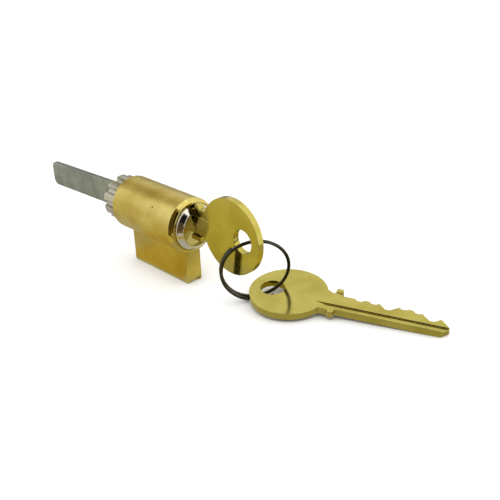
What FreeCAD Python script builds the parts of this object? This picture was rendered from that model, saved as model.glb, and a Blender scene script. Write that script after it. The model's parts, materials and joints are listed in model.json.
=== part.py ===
"""A six-pin lock cylinder with its tailpiece, its two keys and their split ring, in millimetres.

The plug turns about the Y axis. The keyhole faces -Y, the pin housing hangs down along -Z, and the origin
is on the plug's axis at the shell's front. The shell's base and the spare key's tip rest on one plane.
"""
import FreeCAD, Part
import math
import os
import re

import Sketcher
from FreeCAD import Matrix, Placement, Rotation, Vector

# Each driving dimension: its alias, its value in millimetres or degrees, and what it measures.
SIZES = [
    ("shell_radius", 8.0, "outside of the barrel"),
    ("shell_length", 26.7, "barrel, from the pin housing's front face to the rear"),
    ("nose_reach", 1.5, "how far the rounded nose stands out in front of the housing"),
    ("nose_start", 0.2, "start of the nose's taper, behind the housing's front face"),
    ("nose_taper", 0.35, "how much the nose's radius shrinks towards its front"),
    ("nose_round", 0.8, "rounding of the nose"),
    ("rear_edge", 0.3, "bevel round the barrel's rear"),
    ("housing_width", 5.1, "pin housing, across"),
    ("housing_length", 24.9, "pin housing, front to rear"),
    ("housing_depth", 17.8, "from the plug's axis down to the base"),
    ("housing_edge", 0.35, "rounding of the housing's lower edges"),
    ("mark_radius", 0.28, "small round mark in the barrel's side"),
    ("mark_depth", 0.4, "that mark"),
    ("mark_place", 8.9, "that mark, from the housing's front face"),
    ("mark_bearing", 38.1, "that mark, up from the barrel's left side, degrees"),
    ("bore_gap", 0.05, "radial running gap round the plug"),
    ("plug_radius", 6.35, "plug"),
    ("collar_radius", 6.7, "collar at the plug's head"),
    ("collar_seat", 0.4, "depth of the collar's seat in the barrel"),
    ("face_reach", 3.2, "plug's face in front of the origin"),
    ("face_bevel", 1.3, "polished bevel round the plug's face"),
    ("cap_play", 0.1, "end play between the barrel and the screw cap"),
    ("neck_radius", 4.4, "threaded neck at the plug's rear"),
    ("neck_length", 4.5, "threaded neck"),
    ("thread_gap", 0.05, "radial gap between neck and cap"),
    ("cap_radius", 6.9, "screw cap"),
    ("cap_wall", 1.0, "rear wall of the screw cap"),
    ("cap_bevel", 1.1, "bevel round the cap's rear"),
    ("notch_radius", 1.15, "half-round notches round the cap"),
    ("notch_circle", 6.1, "radius that the notches are centred on"),
    ("notch_count", 10, "notches"),
    ("lock_pin_radius", 0.5, "cap pin"),
    ("lock_pin_circle", 5.6, "radius that the cap pin stands on"),
    ("lock_pin_length", 3.8, "cap pin"),
    ("lock_pin_reach", 1.6, "how far the cap pin stands into its notch"),
    ("lock_spring_length", 2.7, "cap pin spring"),
    ("lock_spring_wire", 0.22, "wire of the cap pin spring"),
    ("lock_spring_turns", 3, "turns of the cap pin spring"),
    ("small_gap", 0.05, "gap between small pieces that touch or slide"),
    ("tail_width", 7.7, "tailpiece, top to bottom"),
    ("tail_thickness", 1.6, "tailpiece"),
    ("tail_end", 71.4, "rear end of the tailpiece, from the origin"),
    ("tail_droop", 1.5, "how far the tailpiece hangs down at its rear end"),
    ("tail_slant", 3.7, "length of the slant at the tailpiece's upper corner"),
    ("tail_slant_drop", 2.2, "height of that slant"),
    ("tail_round", 1.9, "rounding of the tailpiece's lower corner"),
    ("disc_radius", 4.35, "round foot of the tailpiece"),
    ("disc_length", 1.2, "round foot of the tailpiece"),
    ("tongue_length", 1.5, "tongue that drives the tailpiece"),
    ("tongue_width", 6.2, "tongue, top to bottom"),
    ("tongue_gap", 0.15, "gap round the tongue"),
    ("tail_play", 15.0, "free turn of the tailpiece each way, degrees"),
    ("pin_radius", 1.46, "bottom and driver pins"),
    ("pin_gap", 0.04, "radial gap round the pins"),
    ("pin_pitch", 3.94, "pin spacing"),
    ("first_pin", 2.0, "first pin, from the housing's front face"),
    ("pin_tip", 0.5, "radius of a bottom pin's flat tip"),
    ("pin_heel", 0.36, "bevel at a bottom pin's other end"),
    ("heel_gap", 0.1, "bottom pins, inside the plug's surface"),
    ("ride_gap", 0.1, "bottom pins, under the highest ridge that passes them"),
    ("driver_length", 4.2, "driver pins"),
    ("driver_edge", 0.25, "bevel of a driver pin's ends"),
    ("spring_wire", 0.36, "wire of the pin springs"),
    ("spring_radius", 1.05, "pin springs, to the wire's middle"),
    ("spring_turns", 6, "turns of a pin spring"),
    ("drill_top", 2.4, "top of the pin holes in the plug, over the axis"),
    ("cover_width", 3.2, "chamber cover, at the base"),
    ("cover_flare", 0.35, "how far each side of the cover widens upwards"),
    ("cover_height", 0.9, "chamber cover"),
    ("cover_inset", 0.5, "cover, behind the housing's front face"),
    ("cover_stop", 0.9, "housing wall behind the cover"),
    ("pocket_reach", 2.45, "pocket beside the keyway, from the key's middle, at its widest"),
    ("pocket_top", 2.1, "that pocket at the plug's rim"),
    ("pocket_foot", 1.6, "that pocket at its lower corner"),
    ("pocket_low", 1.0, "lowest point of that pocket, over the plug's axis"),
    ("pocket_step", 0.8, "its lower corner, over its lowest point"),
    ("pocket_waist", 4.5, "its widest place, over the plug's axis"),
    ("pocket_depth", 2.5, "that pocket"),
    ("keyway_gap", 0.1, "gap on each side of the key's blade"),
    ("keyway_spare", 0.4, "keyway, beyond the key's tip"),
    ("key_thickness", 1.9, "key"),
    ("spine_height", 6.1, "back of the blade, over the plug's axis"),
    ("blade_height", 6.5, "blade before it is cut"),
    ("blade_length", 29.7, "blade, from the shoulder to its tip"),
    ("tip_offset", 2.2, "tip of the blade, from the blade's back"),
    ("tip_run", 3.9, "length of the long bevel at the tip"),
    ("heel_run", 1.6, "length of the short bevel at the tip"),
    ("spine_offset", 4.1, "back of the blade, from the middle of the bow"),
    ("cut_flat", 1.2, "flat at the bottom of a cut"),
    ("cut_depth_a", 0.75, "first cut"),
    ("cut_depth_b", 0.75, "second cut"),
    ("cut_depth_c", 2.0, "third cut"),
    ("cut_depth_d", 0.5, "fourth cut"),
    ("cut_depth_e", 1.0, "fifth cut"),
    ("cut_depth_f", 3.0, "sixth cut"),
    ("bow_radius", 10.8, "bow"),
    ("bow_centre", 14.15, "bow, from the shoulder"),
    ("hole_radius", 3.4, "hole in the bow"),
    ("hole_centre", 18.85, "hole, from the shoulder"),
    ("tab_length", 1.9, "shoulder bar, along the key"),
    ("tab_back", 5.6, "point of the shoulder, from the middle towards the back"),
    ("tab_tip", 1.2, "flat of that point, along the key"),
    ("tab_front", 5.4, "shoulder bar, from the middle towards the cuts"),
    ("tab_round", 0.4, "rounding of the shoulder bar"),
    ("throat_start", 5.0, "where the shoulder leaves the bow, ahead of the stop"),
    ("throat_half", 4.55, "half the width where the shoulder leaves the bow"),
    ("throat_bend", 3.6, "hollow before the shoulder's point, ahead of the stop"),
    ("throat_back", 4.65, "that hollow, from the middle"),
    ("throat_front", 2.8, "foot of the shoulder bar, from the middle"),
    ("groove_depth", 0.6, "milled grooves"),
    ("outer_width", 1.75, "outer groove"),
    ("outer_place", 0.45, "outer groove, from the blade's back"),
    ("inner_width", 1.25, "inner groove"),
    ("inner_place", 3.3, "inner groove, from the blade's back"),
    ("edge_width", 1.2, "groove across the shoulder bar"),
    ("edge_place", 6.9, "groove across the shoulder bar, from the blade's back"),
    ("groove_start", 6.1, "tapered start of the outer and inner grooves, ahead of the shoulder"),
    ("edge_start", 4.0, "tapered start of the groove across the shoulder bar"),
    ("ward_gap", 0.12, "gap between wards and grooves"),
    ("shoulder_gap", 0.05, "gap between the shoulder and the plug's face"),
    ("ring_wire", 0.95, "wire of the split ring"),
    ("ring_radius", 9.25, "split ring, to the wire's middle"),
    ("ring_step", 1.4, "from one turn of the ring to the other"),
    ("ring_start", 131.0, "the ring's first end, round from its outer side, degrees"),
    ("ring_cross", 300.0, "where the wire starts to cross over, degrees"),
    ("ring_crossed", 460.0, "where it has crossed over, degrees"),
    ("ring_spread", 540.0, "where the last turn starts to spread, degrees"),
    ("ring_end", 660.0, "the ring's last end, degrees"),
    ("ring_growth", 0.8, "how much wider the ring is at its last end"),
    ("ring_lean", 7.2, "lean of the ring towards the front, degrees"),
    ("ring_heading", -36.3, "direction of the ring's plane, degrees"),
    ("ring_along", 2.7, "ring's middle, beyond the bow's hole"),
    ("ring_behind", 0.95, "top of the ring, behind the middle of the bow's hole"),
    ("ring_drop", 0.42, "top of the ring, to the wire's middle, below the middle of the bow's hole"),
    ("spare_heading", -66.9, "direction of the spare key's blade, degrees"),
    ("spare_tilt", 2.05, "rise of the spare key towards its bow, degrees"),
    ("spare_roll", 5.15, "lift of the spare key's cut side, degrees"),
    ("spare_along", 4.68, "spare key's hole, beyond the ring's middle"),
    ("spare_behind", 0.45, "spare key's hole, behind the ring's middle"),
    ("overshoot", 1.0, "how far a cutting shape runs past what it cuts"),
]
# The letters of the six pins and cuts, from the front.
PINS = "abcdef"
# Lengths under which two places count as one: on worked-out points, and on the edges of a finished shape.
TINY = 1e-6
CLOSE = 1e-3
# Points measured along each length of wire as long as the winding's radius.
POINTS_PER_RADIUS = 8
# The longest turn between two worked-out places of the split ring's wire.
RING_SPAN = math.radians(45)

doc = FreeCAD.newDocument("LockCylinder")
sheet = doc.addObject("Spreadsheet::Sheet", "Sizes")
for row, (alias, value, meaning) in enumerate(SIZES, start=1):
    sheet.set(f"A{row}", meaning)
    sheet.set(f"B{row}", str(value))
    sheet.setAlias(f"B{row}", alias)
doc.recompute()
ALIASES = [alias for alias, value, meaning in SIZES]
UNIT_X = Vector(1, 0, 0)
UNIT_Y = Vector(0, 1, 0)
UNIT_Z = Vector(0, 0, 1)
ALONG_Y = Rotation(UNIT_X, -90)
parts = []


def size(alias):
    """The value of one driving dimension."""
    return float(sheet.get(alias))


def tied(expression):
    """The expression with each alias written as a reference to the sheet."""
    return re.sub(r"[a-z_]+", lambda word: f"Sizes.{word[0]}" if word[0] in ALIASES else word[0],
                  str(expression))


def bind(item, **fields):
    """Binds properties to expressions of the driving dimensions."""
    for name, expression in fields.items():
        item.setExpression(name.replace("__", "."), tied(expression))


def place(item, at):
    """Binds an item's position."""
    bind(item, Placement__Base__x=at[0], Placement__Base__y=at[1], Placement__Base__z=at[2])
    return item


def box(name, extent, at):
    """A box with its sides and its lowest corner bound to the sheet."""
    item = doc.addObject("Part::Box", name)
    bind(item, Length=extent[0], Width=extent[1], Height=extent[2])
    return place(item, at)


def rod(name, radius, length, at, turn=None):
    """A cylinder that starts at a point and runs along Z, or as turned."""
    item = doc.addObject("Part::Cylinder", name)
    bind(item, Radius=radius, Height=length)
    if turn:
        item.Placement.Rotation = turn
    return place(item, at)


def fused(name, *items):
    """The union of some items."""
    item = doc.addObject("Part::MultiFuse", name)
    item.Shapes = list(items)
    return item


def cut(name, base, *tools):
    """A base with some tools taken away."""
    item = doc.addObject("Part::Cut", name)
    item.Base = base
    item.Tool = tools[0] if len(tools) == 1 else fused(f"{name}_tools", *tools)
    return item


def worked_out(expression):
    """The present value of an expression of the driving dimensions."""
    return float(sheet.evalExpression(tied(expression)))


def outline(body, name, plane, corners):
    """A closed sketch of straight lines, whose every corner is bound to the sheet."""
    sketch = body.newObject("Sketcher::SketchObject", name)
    origin = [feature for feature in body.Origin.OriginFeatures if feature.Role == plane][0]
    sketch.AttachmentSupport = [(origin, "")]
    sketch.MapMode = "FlatFace"
    points = [Vector(worked_out(across), worked_out(up), 0) for across, up in corners]
    count = len(points)
    for index in range(count):
        sketch.addGeometry(Part.LineSegment(points[index], points[(index + 1) % count]), False)
    for index in range(count):
        sketch.addConstraint(Sketcher.Constraint("Coincident", index, 2, (index + 1) % count, 1))
    for index, (across, up) in enumerate(corners):
        for kind, expression in (("DistanceX", across), ("DistanceY", up)):
            number = sketch.addConstraint(Sketcher.Constraint(kind, index, 1, worked_out(expression)))
            sketch.setExpression(f"Constraints[{number}]", tied(expression))
    return sketch


def turned(name, corners, plane="XY_Plane"):
    """A body turned about its sketch's upright axis, from corners given as radius and place along it."""
    body = doc.addObject("PartDesign::Body", name)
    sketch = outline(body, f"{name}_profile", plane, corners)
    spin = body.newObject("PartDesign::Revolution", f"{name}_turned")
    spin.Profile = sketch
    spin.ReferenceAxis = (sketch, ["V_Axis"])
    spin.Angle = 360
    return body


def padded(name, plane, corners, thickness, at=(0, 0, 0)):
    """A body of even thickness, from its outline's corners."""
    body = doc.addObject("PartDesign::Body", name)
    pad = body.newObject("PartDesign::Pad", f"{name}_pad")
    pad.Profile = outline(body, f"{name}_outline", plane, corners)
    bind(pad, Length=thickness)
    return place(body, at)


def round_edges(body, radius, wanted):
    """Rounds the edges of a body that a test picks."""
    doc.recompute()
    base = body.Tip
    names = [f"Edge{number}" for number, edge in enumerate(base.Shape.Edges, start=1) if wanted(edge)]
    fillet = body.newObject("PartDesign::Fillet", f"{body.Name}_rounding")
    fillet.Base = (base, names)
    body.Tip = fillet
    bind(fillet, Radius=radius)


def is_circle(edge, radius):
    """Whether an edge is a circle of a given radius."""
    return edge.Curve.TypeId == "Part::GeomCircle" and abs(edge.Curve.Radius - radius) < TINY


def runs_along(edge, axis):
    """Whether a straight edge runs along an axis."""
    start, end = edge.Vertexes[0].Point, edge.Vertexes[-1].Point
    return edge.Curve.TypeId == "Part::GeomLine" and abs((end - start).normalize().dot(axis)) > 0.999


def solid(name, shape, placement=None):
    """A sub-part whose shape is worked out from the sheet."""
    item = doc.addObject("Part::Feature", name)
    item.Shape = shape
    item.Placement = placement or Placement()
    return item


def keep(name, item):
    """Labels an item as a finished sub-part."""
    item.Label = name
    parts.append(item)
    return item


def arc_between(start, along, end):
    """The arc that leaves a point in one direction and ends at another point."""
    chord = end - start
    middle = start + chord * 0.5
    corner = start + along * (chord.Length / (2 * along.dot(chord) / chord.Length))
    rise = corner - middle
    if rise.Length < TINY:
        return Part.LineSegment(start, end)
    bulge = chord.Length / 2 * math.tan(math.atan2(rise.Length, chord.Length / 2) / 2)
    return Part.Arc(start, middle + rise.normalize() * bulge, end)


def biarc(start, start_along, end, end_along):
    """Two tangent arcs that join two points in the given directions."""
    chord = end - start
    together = start_along.dot(end_along)
    lean = chord.dot(start_along + end_along)
    if together > 1 - TINY:
        reach = chord.dot(chord) / (2 * lean)
    else:
        root = math.sqrt(lean * lean + 2 * (1 - together) * chord.dot(chord))
        reach = (root - lean) / (2 * (1 - together))
    middle = (start + start_along * reach + end - end_along * reach) * 0.5
    middle_along = (end - end_along * reach - start - start_along * reach).normalize()
    return [arc_between(start, start_along, middle), arc_between(middle, middle_along, end)]


def wound_tube(stations, mean_radius, wire_radius, label):
    """An unbroken tube through stations of angle, height, rise for each radian, and the same outwards."""
    points, ways = [], []
    for turn, up, rise, out, outward in stations:
        reach = Vector(math.cos(turn), math.sin(turn), 0)
        round_it = Vector(-math.sin(turn), math.cos(turn), 0)
        points.append(reach * (mean_radius + out) + UNIT_Z * up)
        ways.append((round_it * (mean_radius + out) + reach * outward + UNIT_Z * rise).normalize())
    curves = []
    for index in range(len(points) - 1):
        curves += biarc(points[index], ways[index], points[index + 1], ways[index + 1])
    path = Part.Wire([curve.toShape() for curve in curves])
    section = Part.Wire(Part.Circle(points[0], ways[0], wire_radius).toShape())
    tube = path.makePipeShell([section], True, False)
    report_least_gap(path, mean_radius, wire_radius, label)
    return tube


def report_least_gap(path, mean_radius, wire_radius, label):
    """Prints the least gap between the turns of a wound tube, measured on points of its path."""
    spacing = mean_radius / POINTS_PER_RADIUS
    points = path.discretize(Distance=spacing)
    apart = int(math.pi * mean_radius / spacing)
    least = min((points[first] - points[second]).Length
                for first in range(len(points)) for second in range(first + apart, len(points)))
    print(f"{label}: least gap to itself {least - 2 * wire_radius:.3f} mm")


def spring(length, mean_radius, wire_radius, turns_alias, label):
    """A helical spring that stands on Z = 0, in quarter turns."""
    turns = round(size(turns_alias))
    rise = (length - 2 * wire_radius) / (turns * 2 * math.pi)
    stations = []
    for quarter in range(4 * turns + 1):
        angle = quarter * math.pi / 2
        stations.append((angle, wire_radius + rise * angle, rise, 0, 0))
    return wound_tube(stations, mean_radius, wire_radius, label)


# Places along Y that several pieces share.
SHOULDER_Y = "-(face_reach + shoulder_gap)"
CAP_FRONT_Y = "(shell_length + cap_play)"
NECK_END_Y = f"({CAP_FRONT_Y} + neck_length)"
FOOT_Y = f"({NECK_END_Y} + small_gap)"
CAP_WALL_Y = f"({FOOT_Y} + disc_length + small_gap)"
KEYWAY_END_Y = f"(blade_length + {SHOULDER_Y} + keyway_spare)"
# Heights that several pieces share, and the radii of holes.
BASE_Z = "-housing_depth"
COVER_Z = "-(housing_depth - cover_height)"
BLADE_LOW_Z = "(spine_height - blade_height)"
SHEAR_Z = "-(plug_radius + bore_gap + small_gap)"
BORE = "(plug_radius + bore_gap)"
PIN_HOLE = "(pin_radius + pin_gap)"
KEYWAY_HALF = "(key_thickness / 2 + keyway_gap)"
# The cap pin's inner end.
LOCK_PIN_Y = f"({CAP_FRONT_Y} - lock_pin_length + lock_pin_reach)"


def pin_y(index):
    """The place of a pin along Y."""
    return f"(first_pin + {index} * pin_pitch)"


def make_shell():
    """The barrel with its rounded nose and the pin housing below it."""
    barrel = turned("barrel", [
        (BORE, "shell_length"), ("shell_radius - rear_edge", "shell_length"),
        ("shell_radius", "shell_length - rear_edge"), ("shell_radius", "nose_start"),
        ("shell_radius - nose_taper", "-nose_reach"), ("collar_radius + bore_gap", "-nose_reach"),
        ("collar_radius + bore_gap", "collar_seat + small_gap"), (BORE, "collar_seat + small_gap")])
    nose_y, rim = -size("nose_reach"), size("shell_radius") - size("nose_taper")
    round_edges(barrel, "nose_round", lambda edge: is_circle(edge, rim)
                and abs(edge.Curve.Center.y - nose_y) < TINY)
    within_wall = "(shell_radius + plug_radius) / 2"
    housing = padded("housing", "XY_Plane", [
        ("-housing_width / 2", 0), ("housing_width / 2", 0),
        ("housing_width / 2", "housing_length"), ("-housing_width / 2", "housing_length")],
        f"housing_depth - {within_wall}", (0, 0, BASE_Z))
    round_edges(housing, "housing_edge", lambda edge: runs_along(edge, UNIT_Y)
                and edge.BoundBox.ZMax < CLOSE)
    holes = []
    for index, letter in enumerate(PINS):
        holes.append(rod(f"chamber_{letter}", PIN_HOLE, "housing_depth - plug_radius / 2 - cover_height / 2",
                         (0, pin_y(index), "-(housing_depth - cover_height / 2)")))
    slide = padded("cover_slide", "XZ_Plane", [
        ("-cover_width / 2", BASE_Z), ("cover_width / 2", BASE_Z),
        ("cover_width / 2 + cover_flare", COVER_Z), ("-cover_width / 2 - cover_flare", COVER_Z)],
        "housing_length - cover_stop + overshoot", (0, "housing_length - cover_stop", 0))
    sunk_to = "(shell_radius - mark_depth)"
    mark = rod("barrel_mark", "mark_radius", "mark_depth + overshoot",
               (f"-{sunk_to} * cos(mark_bearing)", "mark_place", f"{sunk_to} * sin(mark_bearing)"),
               Rotation(UNIT_Y, size("mark_bearing") - 90))
    return keep("shell", cut("shell_cut", fused("shell_blank", barrel, housing), slide, mark, *holes))


def make_chamber_cover():
    """The dovetailed strip that closes the pin chambers from below."""
    foot, top = "(cover_width / 2 - small_gap)", "(cover_width / 2 - small_gap + cover_flare)"
    strip = padded("cover_strip", "XZ_Plane", [
        (f"-{foot}", BASE_Z), (foot, BASE_Z),
        (top, f"{COVER_Z} - small_gap"), (f"-{top}", f"{COVER_Z} - small_gap")],
        "housing_length - cover_stop - cover_inset - small_gap",
        (0, "housing_length - cover_stop - small_gap", 0))
    return keep("chamber_cover", strip)


def make_plug():
    """The plug, with its keyway, pin holes, threaded neck and the recess that turns the tailpiece."""
    blank = turned("plug_blank", [
        (0, "-face_reach"), ("collar_radius - face_bevel", "-face_reach"),
        ("collar_radius", "-face_reach + face_bevel"), ("collar_radius", "collar_seat"),
        ("plug_radius", "collar_seat"), ("plug_radius", CAP_FRONT_Y), ("neck_radius", CAP_FRONT_Y),
        ("neck_radius", NECK_END_Y), (0, NECK_END_Y)])
    slot_low, slot_front = f"{BLADE_LOW_Z} - keyway_gap", "-(face_reach + overshoot)"
    slot = box("keyway",
               (f"2 * {KEYWAY_HALF}", f"{KEYWAY_END_Y} - {slot_front}", f"2 * plug_radius - {slot_low}"),
               (f"-{KEYWAY_HALF}", slot_front, slot_low))
    slotted = fused("plug_slotted", cut("plug_keyway", blank, slot), ward("outer", -1), ward("inner", 1))
    pocket = padded("keyway_pocket", "XZ_Plane", [
        (0, "collar_radius + overshoot"), ("-pocket_top", "collar_radius + overshoot"),
        ("-pocket_reach", "pocket_waist"), ("-pocket_foot", "pocket_low + pocket_step"),
        (f"-{KEYWAY_HALF} + keyway_gap", "pocket_low"), (0, "pocket_low")],
        "pocket_depth + overshoot", (0, "pocket_depth - face_reach", 0))
    holes = []
    for index, letter in enumerate(PINS):
        holes.append(rod(f"plug_hole_{letter}", PIN_HOLE, "drill_top + plug_radius + overshoot",
                         (0, pin_y(index), "-(plug_radius + overshoot)")))
    lock_hole = rod("lock_pin_hole", "lock_pin_radius + small_gap",
                    "lock_pin_length - lock_pin_reach + lock_spring_length + overshoot",
                    ("lock_pin_circle", f"{LOCK_PIN_Y} - lock_spring_length", 0), ALONG_Y)
    return keep("plug", cut("plug_cut", slotted, pocket, lock_hole, tail_recess(), *holes))


def ward(which, side):
    """A rib in the keyway that runs in one of the key's grooves."""
    reach = "(keyway_gap + groove_depth)"
    across = f"-({KEYWAY_HALF} + ward_gap)" if side < 0 else f"{KEYWAY_HALF} + ward_gap - {reach}"
    return box(f"{which}_ward",
               (reach, f"{CAP_FRONT_Y} + face_reach - small_gap", f"{which}_width - 2 * ward_gap"),
               (across, "-face_reach", f"spine_height - {which}_place - {which}_width + ward_gap"))


def tail_recess():
    """The waisted recess in the plug's neck, which lets the tailpiece turn a little before it drives it."""
    half = "(tail_thickness / 2 + tongue_gap)"
    far = "(tongue_width / 2 + overshoot)"
    waist = f"{half} / cos(tail_play)"
    flare = f"({half} + {far} * sin(tail_play)) / cos(tail_play)"
    depth = "(tongue_length + tongue_gap)"
    sector = padded("tail_recess_outline", "XZ_Plane", [
        (waist, 0), (flare, far), (f"-{flare}", far), (f"-{waist}", 0), (f"-{flare}", f"-{far}"),
        (flare, f"-{far}")], f"{depth} + overshoot", (0, f"{NECK_END_Y} + overshoot", 0))
    reach = "sqrt((tongue_width / 2) ^ 2 + (tail_thickness / 2) ^ 2) + tongue_gap"
    sweep = rod("tail_recess_sweep", reach, f"{depth} + overshoot",
                (0, f"{NECK_END_Y} - {depth}", 0), ALONG_Y)
    recess = doc.addObject("Part::Common", "tail_recess")
    recess.Base = sector
    recess.Tool = sweep
    return recess


def make_plug_cap():
    """The notched cap that screws on the plug's neck and holds the plug and the tailpiece in."""
    thread = "neck_radius + thread_gap"
    rear = f"({CAP_WALL_Y} + cap_wall)"
    mouth = "sqrt(tail_width ^ 2 + tail_thickness ^ 2) / 2 + 2 * small_gap"
    blank = turned("cap_blank", [
        (thread, CAP_FRONT_Y), ("cap_radius", CAP_FRONT_Y), ("cap_radius", f"{rear} - cap_bevel"),
        ("cap_radius - cap_bevel", rear), (mouth, rear), (mouth, CAP_WALL_Y), (thread, CAP_WALL_Y)])
    count = int(size("notch_count"))
    notches = []
    for index in range(count):
        angle = f"{index} * 360 / notch_count"
        across, up = f"notch_circle * cos({angle})", f"notch_circle * sin({angle})"
        notches.append(rod(f"notch_{index + 1}", "notch_radius", f"{rear} - {CAP_FRONT_Y} + 2 * overshoot",
                           (across, f"{CAP_FRONT_Y} - overshoot", up), ALONG_Y))
    return keep("plug_cap", cut("cap_cut", blank, *notches))


def make_cap_pin():
    """The sprung pin that keeps the cap from unscrewing."""
    keep("cap_pin", rod("cap_pin_rod", "lock_pin_radius", "lock_pin_length",
                        ("lock_pin_circle", LOCK_PIN_Y, 0), ALONG_Y))
    gap, wire = size("small_gap"), size("lock_spring_wire") / 2
    coil = spring(size("lock_spring_length") - 2 * gap, size("lock_pin_radius") - wire - gap / 2, wire,
                  "lock_spring_turns", "cap pin spring")
    foot = Vector(size("lock_pin_circle"), worked_out(f"{LOCK_PIN_Y} - lock_spring_length + small_gap"), 0)
    keep("cap_pin_spring", solid("cap_pin_coil", coil, Placement(foot, ALONG_Y)))


def make_tailpiece():
    """The flat steel tailpiece, with a round foot under the cap and a tongue in the plug."""
    bend = f"({CAP_WALL_Y} + cap_wall + small_gap)"
    slope = f"(tail_droop / (tail_end - {bend}))"
    blade = padded("tail_blade", "YZ_Plane", [
        (FOOT_Y, "-tail_width / 2"), (bend, "-tail_width / 2"), ("tail_end", "-tail_width / 2 - tail_droop"),
        ("tail_end", "tail_width / 2 - tail_slant_drop - tail_droop"),
        ("tail_end - tail_slant", f"tail_width / 2 - tail_droop + tail_slant * {slope}"),
        (bend, "tail_width / 2"), (FOOT_Y, "tail_width / 2")],
        "tail_thickness", ("-tail_thickness / 2", 0, 0))
    low, far = -size("tail_width") / 2 - size("tail_droop"), size("tail_end")
    round_edges(blade, "tail_round", lambda edge: runs_along(edge, UNIT_X)
                and edge.BoundBox.YMin > far - CLOSE and edge.BoundBox.ZMax < low + CLOSE)
    foot = rod("tail_foot", "disc_radius", "disc_length", (0, FOOT_Y, 0), ALONG_Y)
    tongue = box("tail_tongue", ("tail_thickness", "tongue_length + small_gap", "tongue_width"),
                 ("-tail_thickness / 2", f"{FOOT_Y} - tongue_length", "-tongue_width / 2"))
    return keep("tailpiece", fused("tail_solid", blade, foot, tongue))


def ridge_depth(index):
    """How far the ridge behind a cut lies under the uncut blade. The last ridge meets the tip's bevel."""
    depth = f"cut_depth_{PINS[index]}"
    if index + 1 < len(PINS):
        return f"max(0; ({depth} + cut_depth_{PINS[index + 1]} + cut_flat - pin_pitch) / 2)"
    slope = "((blade_height - tip_offset) / tip_run)"
    flank = f"({depth} + {pin_y(index)} - {SHOULDER_Y} + cut_flat / 2)"
    meet = f"(({flank} + (blade_length - tip_run) * {slope}) / (1 + {slope}))"
    return f"max(0; {flank} - {meet})"


def make_pin_stack(index):
    """One bottom pin in the plug, and the driver pin and spring below it."""
    letter, number = PINS[index], index + 1
    passing = "; ".join(ridge_depth(later) for later in range(index, len(PINS)))
    tip = f"({BLADE_LOW_Z} + min({passing}) - ride_gap)"
    heel = "-(plug_radius - heel_gap)"
    lower = turned(f"lower_pin_{letter}", [
        (0, heel), ("pin_radius - pin_heel", heel), ("pin_radius", f"{heel} + pin_heel"),
        ("pin_radius", f"{tip} - pin_radius + pin_tip"), ("pin_tip", tip), (0, tip)], "XZ_Plane")
    keep(f"bottom_pin_{number}", place(lower, (0, pin_y(index), 0)))
    foot = f"{SHEAR_Z} - driver_length"
    upper = turned(f"upper_pin_{letter}", [
        (0, foot), ("pin_radius - driver_edge", foot), ("pin_radius", f"{foot} + driver_edge"),
        ("pin_radius", f"{SHEAR_Z} - driver_edge"), ("pin_radius - driver_edge", SHEAR_Z),
        (0, SHEAR_Z)], "XZ_Plane")
    keep(f"driver_pin_{number}", place(upper, (0, pin_y(index), 0)))
    low = worked_out(f"{COVER_Z} + small_gap")
    length = worked_out(f"{foot} - small_gap") - low
    coil = spring(length, size("spring_radius"), size("spring_wire") / 2, "spring_turns",
                  f"pin spring {number}")
    stand = Placement(Vector(0, worked_out(pin_y(index)), low), Rotation())
    keep(f"pin_spring_{number}", solid(f"coil_{letter}", coil, stand))


def make_key(name):
    """A key along X, from its shoulder at X = 0, with its cuts towards +Y."""
    back, front = "-spine_offset", "(blade_height - spine_offset)"
    half = "key_thickness / 2"
    blade = padded(f"{name}_blade", "XY_Plane", [
        ("-tab_length / 2", back), ("blade_length - heel_run", back),
        ("blade_length", f"{back} + tip_offset"), ("blade_length - tip_run", front),
        ("-tab_length / 2", front)], "key_thickness", (0, 0, f"-{half}"))
    bar = padded(f"{name}_shoulder", "XY_Plane", [
        ("-throat_start", "-throat_half"), ("-throat_bend", "-throat_back"), ("-tab_tip", "-tab_back"),
        (0, "-tab_back"), (0, "tab_front"), ("-tab_length", "tab_front"), ("-tab_length", "throat_front"),
        ("-throat_start", "throat_half")], "key_thickness", (0, 0, f"-{half}"))
    round_edges(bar, "tab_round", lambda edge: runs_along(edge, UNIT_Z))
    bow = rod(f"{name}_bow", "bow_radius", "key_thickness", ("-bow_centre", 0, f"-{half}"))
    hole = rod(f"{name}_hole", "hole_radius", "2 * key_thickness", ("-hole_centre", 0, "-key_thickness"))
    tools = [hole, groove(name, "outer", "groove_start", 1), groove(name, "inner", "groove_start", -1),
             groove(name, "edge", "edge_start", 1)]
    for index, letter in enumerate(PINS):
        middle = f"({pin_y(index)} - {SHOULDER_Y})"
        root = f"{front} - cut_depth_{letter}"
        spread = f"(cut_flat / 2 + cut_depth_{letter} + overshoot)"
        tools.append(padded(f"{name}_cut_{letter}", "XY_Plane", [
            (f"{middle} - cut_flat / 2", root), (f"{middle} + cut_flat / 2", root),
            (f"{middle} + {spread}", f"{front} + overshoot"),
            (f"{middle} - {spread}", f"{front} + overshoot")],
            "2 * key_thickness", (0, 0, "-key_thickness")))
    return keep(name, cut(f"{name}_cutting", fused(f"{name}_blank", blade, bar, bow), *tools))


def groove(name, which, start, side):
    """A milled groove with a long tapered start, on one face of the key."""
    low = "-(key_thickness / 2 + overshoot)" if side < 0 else "key_thickness / 2 - groove_depth"
    edge = f"{which}_place - spine_offset"
    return padded(f"{name}_{which}_groove", "XY_Plane", [
        (f"-{start}", f"{edge} + {which}_width"), (0, edge), ("blade_length + overshoot", edge),
        ("blade_length + overshoot", f"{edge} + {which}_width")], "groove_depth + overshoot", (0, 0, low))


def framed(origin, along, side):
    """The placement whose X and Y axes lie along two directions."""
    up = along.cross(side)
    return Placement(Matrix(along.x, side.x, up.x, origin.x, along.y, side.y, up.y, origin.y,
                            along.z, side.z, up.z, origin.z, 0, 0, 0, 1))


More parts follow.
